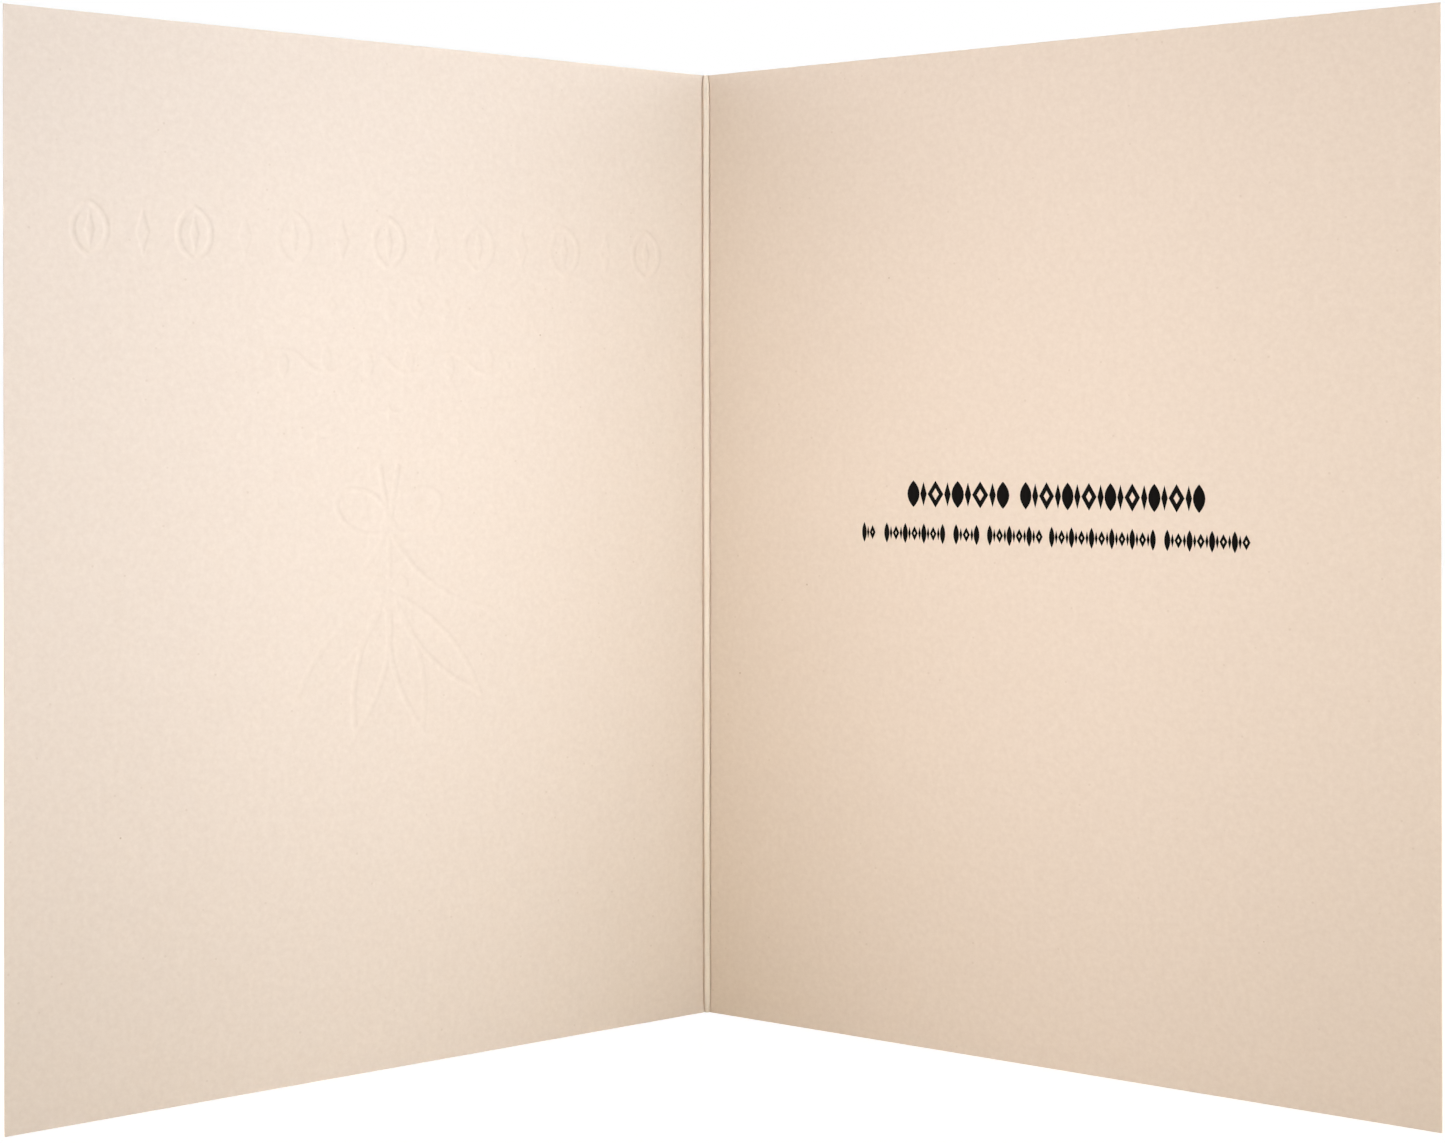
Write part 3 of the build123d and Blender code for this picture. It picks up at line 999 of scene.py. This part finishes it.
@dataclass
class PrintedRow:
    """One row of small printed ornaments on the inside of the back leaf, as thin films of ink.

    The row is in groups, each by where it begins and ends across the leaf and how many motifs it
    has. Every group begins the order anew, and its motifs share its length by the room they need.
    """

    name: str
    stance: OpenStance
    ink: PrintingInk
    height: float
    middle_up: float
    groups: Sequence[tuple[float, float, int]]
    line: float
    order: Sequence[Motif]
    film: float = 0.02 * MM
    bite: float = 0.01 * MM
    leaf_points: int = 24
    fill: float = 0.92

    def outline(self, motif: Motif, width: float, height: float) -> np.ndarray:
        """A motif's outline about its middle, anticlockwise.

        A lozenge is its four corners. A leaf is a turn of points whose height is the sine of the
        turn, and whose place across is its cosine times its size, so that it is pointed at both ends.

        Args:
            motif: Which ornament.
            width: How wide it is.
            height: How high it is.

        Returns:
            One row of x and y a point.
        """
        count = self.leaf_points if motif in (Motif.LEAF, Motif.TALL_LEAF) else 4
        turn = np.arange(count) * 2 * math.pi / count
        across, up = np.cos(turn), np.sin(turn)
        return np.stack([width / 2 * across * np.abs(across), height / 2 * up], axis=-1)

    def rings(self, motif: Motif, pitch: float) -> tuple[list[np.ndarray], list[float]]:
        """The outlines that a motif's film is stretched over, and their heights over the paper.

        Args:
            motif: Which ornament.
            pitch: How much room it has across.

        Returns:
            The outlines and their heights: round a hollow motif's line, or down a full one's side.
        """
        height, width = self.height * motif.value[0], self.fill * pitch
        outer = self.outline(motif, width, height)
        if motif is not Motif.HOLLOW_LOZENGE:
            return [outer, outer], [-self.bite, self.film]
        sideways = self.line * math.hypot(width, height) / height
        inner = outer * (1 - 2 * sideways / width)
        return [outer, inner, inner, outer], [self.film, self.film, -self.bite, -self.bite]

    def film_of(self, motif: Motif, pitch: float) -> tuple[np.ndarray, np.ndarray, np.ndarray]:
        """The closed film of one motif: quads from ring to ring, and a full one's two ends.

        Args:
            motif: Which ornament.
            pitch: How much room it has across.

        Returns:
            Points as across, up and lift, then corners and face sizes.
        """
        rings, lifts = self.rings(motif, pitch)
        count = len(rings[0])
        points = np.concatenate([np.insert(ring, 2, lift, axis=1) for ring, lift in zip(rings, lifts)])
        here = np.arange(count)
        after = np.roll(here, -1)
        hollow = len(rings) > 2
        starts = [i * count for i in range(len(rings))]
        pairs = list(zip(starts, starts[1:] + starts[:1])) if hollow else [(0, count)]
        quads = [
            np.stack([here + low, after + low, after + high, here + high], axis=1)
            for low, high in pairs
        ]
        corners, sizes = [np.concatenate(quads).ravel()], [np.full(count * len(pairs), 4)]
        if not hollow:
            corners += [here[::-1], here + count]
            sizes.append(np.array([count, count]))
        return points, np.concatenate(corners), np.concatenate(sizes)

    def build(self) -> bpy.types.Object:
        """Sets the motifs out in their groups, and makes one piece of them."""
        points, corners, sizes = [], [], []
        start = 0
        for first, last, count in self.groups:
            motifs = [self.order[index % len(self.order)] for index in range(count)]
            rooms = np.array([motif.value[1] for motif in motifs])
            pitches = rooms * (last - first) / rooms.sum()
            places = first + np.cumsum(pitches) - pitches / 2
            for motif, pitch, place in zip(motifs, pitches, places):
                film, film_corners, film_sizes = self.film_of(motif, pitch)
                film = film + np.array([place, self.middle_up, 0.0])
                points.append(self.stance.on_back_leaf(film[:, 0], film[:, 1], film[:, 2]))
                corners.append(film_corners + start)
                sizes.append(film_sizes)
                start += len(film)
        parts = (np.concatenate(part) for part in (points, corners, sizes))
        piece = new_piece(self.name, *parts)
        piece.data.polygons.foreach_set("use_smooth", np.zeros(len(piece.data.polygons), bool))
        piece.data.materials.append(self.ink.material())
        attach(piece, "root")
        return piece


@dataclass(frozen=True)
class SoftLamp:
    """A square studio softbox: its place, side, power in watts, colour and its grid's opening."""

    name: str
    place: tuple[float, float, float]
    side: float
    power: float
    colour: str = "#FFFFFF"
    spread: float = 180.0
    target: tuple[float, float, float] = (0.0, -0.03, 0.10)

    def build(self) -> None:
        """Hangs the lamp and turns it towards the card."""
        lamp = bpy.data.lights.new(self.name, "AREA")
        lamp.shape = "SQUARE"
        lamp.size = self.side
        lamp.energy = self.power
        lamp.spread = math.radians(self.spread)
        lamp.color = linear(self.colour)[:3]
        holder = bpy.data.objects.new(self.name, lamp)
        holder.location = self.place
        aim = Vector(self.target) - Vector(self.place)
        holder.rotation_euler = aim.to_track_quat("-Z", "Y").to_euler()
        bpy.context.scene.collection.objects.link(holder)


@dataclass(frozen=True)
class Studio:
    """The camera at the photograph's place, a plain white floor and plain soft light."""

    picture_width: int = 1445
    picture_height: int = 1143
    focal_pixels: float = 1752.6
    axis_pixel: tuple[float, float] = (630.2, 423.1)
    place: tuple[float, float, float] = (-15.46 * MM, -333.42 * MM, 111.92 * MM)
    yaw: float = 0.17
    pitch: float = 0.006
    roll: float = -0.080
    sensor: float = 36.0
    clip_reach: tuple[float, float] = (0.01, 100.0)
    floor_size: float = 12.0
    floor_colour: str = "#897A18"
    floor_reach: tuple[float, float] = (0.35, 1.2)
    floor_glow: str = "#F1F3FF"
    glow_reach: tuple[float, float] = (0.3, 0.6)
    ambient: float = 0.03
    lamps: tuple[SoftLamp, ...] = (
        SoftLamp("right_near_softbox", (0.35, -0.45, 0.30), 0.3, 1.262, "#FFFDF9"),
        SoftLamp("left_near_softbox", (-0.35, -0.45, 0.30), 0.3, 0.309, "#FFECCC"),
        SoftLamp("right_front_softbox", (0.80, -0.50, 0.15), 0.25, 0.084, "#FFFFFA", 22.0),
        SoftLamp("left_front_softbox", (-0.80, -0.50, 0.15), 0.25, 0.099, "#FFF8ED", 22.0),
        SoftLamp("right_side_softbox", (0.95, -0.35, 0.15), 0.4, 0.605, "#ECF4FF", 45.0),
        SoftLamp("left_side_softbox", (-0.95, -0.35, 0.15), 0.4, 0.545, "#F0F4FF", 45.0),
        SoftLamp(
            "high_softbox", (0.25, -0.6, 0.45), 0.2, 0.0166, "#A1CBFF", 20.0, (-0.1, -0.05, 0.17)
        ),
        SoftLamp("back_softbox", (0.0, 0.90, 0.60), 0.8, 13.0),
    )

    def camera(self) -> None:
        """Sets up the camera: its lens and shift put its axis on that pixel of the photograph."""
        data = bpy.data.cameras.new("camera")
        data.sensor_fit = "HORIZONTAL"
        data.sensor_width = self.sensor
        data.lens = self.focal_pixels / self.picture_width * self.sensor
        data.shift_x = (self.picture_width / 2 - self.axis_pixel[0]) / self.picture_width
        data.shift_y = (self.axis_pixel[1] - self.picture_height / 2) / self.picture_width
        data.clip_start, data.clip_end = self.clip_reach
        holder = bpy.data.objects.new("camera", data)
        holder.location = self.place
        angles = (90 + self.pitch, -self.roll, -self.yaw)
        holder.rotation_euler = [math.radians(angle) for angle in angles]
        bpy.context.scene.collection.objects.link(holder)
        bpy.context.scene.camera = holder

    @staticmethod
    def seen_directly(tree: bpy.types.NodeTree) -> bpy.types.NodeSocket:
        """Adds what is 1 for a camera, mirror or glass ray and 0 for the rays that light the card."""
        path = add_node(tree, "ShaderNodeLightPath")
        seen = path.outputs["Is Camera Ray"]
        for kind in ("Is Glossy Ray", "Is Transmission Ray"):
            either = {0: seen, 1: path.outputs[kind]}
            seen = add_node(tree, "ShaderNodeMath", either, operation="MAXIMUM").outputs[0]
        return seen

    @staticmethod
    def fading(
        tree: bpy.types.NodeTree,
        distance: bpy.types.NodeSocket,
        reach: tuple[float, float],
        colours: tuple[str, str],
    ) -> bpy.types.NodeSocket:
        """Adds a colour that turns into another one on the way between two distances.

        Args:
            tree: The material's tree.
            distance: How far each place is from the card.
            reach: Where the turn begins and ends.
            colours: The colour before it and the colour after it.

        Returns:
            The colour's socket.
        """
        way = {"Value": distance, "From Min": reach[0], "From Max": reach[1]}
        share = add_node(tree, "ShaderNodeMapRange", way)
        shades = {COLOUR_A: linear(colours[0]), COLOUR_B: linear(colours[1])}
        mixed = {"Factor": share.outputs[0], **shades}
        return add_node(tree, "ShaderNodeMix", mixed, data_type="RGBA").outputs[COLOUR_OUT]

    def backdrop(self) -> None:
        """A world that shows white and lights the card evenly from all round."""
        world = bpy.data.worlds.new("white_studio")
        world.use_nodes = True
        tree = world.node_tree
        tree.nodes.clear()
        brightness = {"Value": self.seen_directly(tree), "To Min": self.ambient, "To Max": 1.0}
        strength = add_node(tree, "ShaderNodeMapRange", brightness)
        white = {"Color": linear("#FFFFFF"), "Strength": strength.outputs[0]}
        light = add_node(tree, "ShaderNodeBackground", white)
        add_node(tree, "ShaderNodeOutputWorld", {"Surface": light.outputs[0]})
        bpy.context.scene.world = world

    def floor(self) -> None:
        """A plain white floor that keeps the card's soft shadow and runs out into the backdrop."""
        half = self.floor_size / 2
        points = np.array([[-half, -half, 0], [half, -half, 0], [half, half, 0], [-half, half, 0]])
        piece = new_piece("studio_floor", points, np.arange(4), np.array([4]))
        material, tree = new_material("white_paper_floor")
        place = add_node(tree, "ShaderNodeTexCoord").outputs["Object"]
        off_card = add_node(tree, "ShaderNodeVectorMath", {0: place}, operation="LENGTH")
        distance = off_card.outputs["Value"]
        share = self.fading(tree, distance, self.floor_reach, (self.floor_colour, "#000000"))
        shown = self.fading(tree, distance, self.glow_reach, (self.floor_glow, "#FFFFFF"))
        matt = add_node(tree, "ShaderNodeBsdfDiffuse", {"Color": share})
        bright = {"Color": shown, "Strength": self.seen_directly(tree)}
        glow = add_node(tree, "ShaderNodeEmission", bright)
        both = add_node(tree, "ShaderNodeAddShader", {0: matt.outputs[0], 1: glow.outputs[0]})
        add_node(tree, "ShaderNodeOutputMaterial", {"Surface": both.outputs[0]})
        piece.data.materials.append(material)

    def build(self) -> None:
        """Sets up the camera, the backdrop, the floor and the lamps."""
        bpy.context.scene.view_settings.view_transform = "Standard"
        self.camera()
        self.backdrop()
        self.floor()
        for lamp in self.lamps:
            lamp.build()


def report(piece: bpy.types.Object) -> None:
    """Logs a piece's name and how many faces it has."""
    log.info("%s: %d faces", piece.name, len(piece.data.polygons))


def main() -> None:
    """Builds the studio and the card, piece by piece."""
    logging.basicConfig(level=logging.INFO, format="%(name)s: %(message)s")
    Studio().build()
    stance = OpenStance()
    sheet = CardSheet(stance, CreasedFold(stance), CoverOrnaments(stance), IvoryBoard())
    report(sheet.build())
    ink = PrintingInk()
    lozenges = (Motif.SLIM_LOZENGE, Motif.HOLLOW_LOZENGE, Motif.SLIM_LOZENGE)
    heading = PrintedRow(
        name="printed_heading_row",
        stance=stance,
        ink=ink,
        height=4.8 * MM,
        middle_up=99.2 * MM,
        groups=((39.7 * MM, 58.4 * MM, 9), (60.1 * MM, 91.4 * MM, 17)),
        line=0.7 * MM,
        order=(Motif.LEAF, *lozenges),
    )
    report(heading.build())
    small = PrintedRow(
        name="printed_small_row",
        stance=stance,
        ink=ink,
        height=2.6 * MM,
        middle_up=92.1 * MM,
        groups=(
            (31.2 * MM, 33.8 * MM, 3),
            (35.4 * MM, 46.8 * MM, 13),
            (48.2 * MM, 53.0 * MM, 5),
            (54.3 * MM, 64.2 * MM, 11),
            (65.2 * MM, 83.3 * MM, 21),
            (84.6 * MM, 98.5 * MM, 15),
        ),
        line=0.4 * MM,
        order=(Motif.TALL_LEAF, *lozenges),
    )
    report(small.build())


if __name__ == "__main__":
    main()
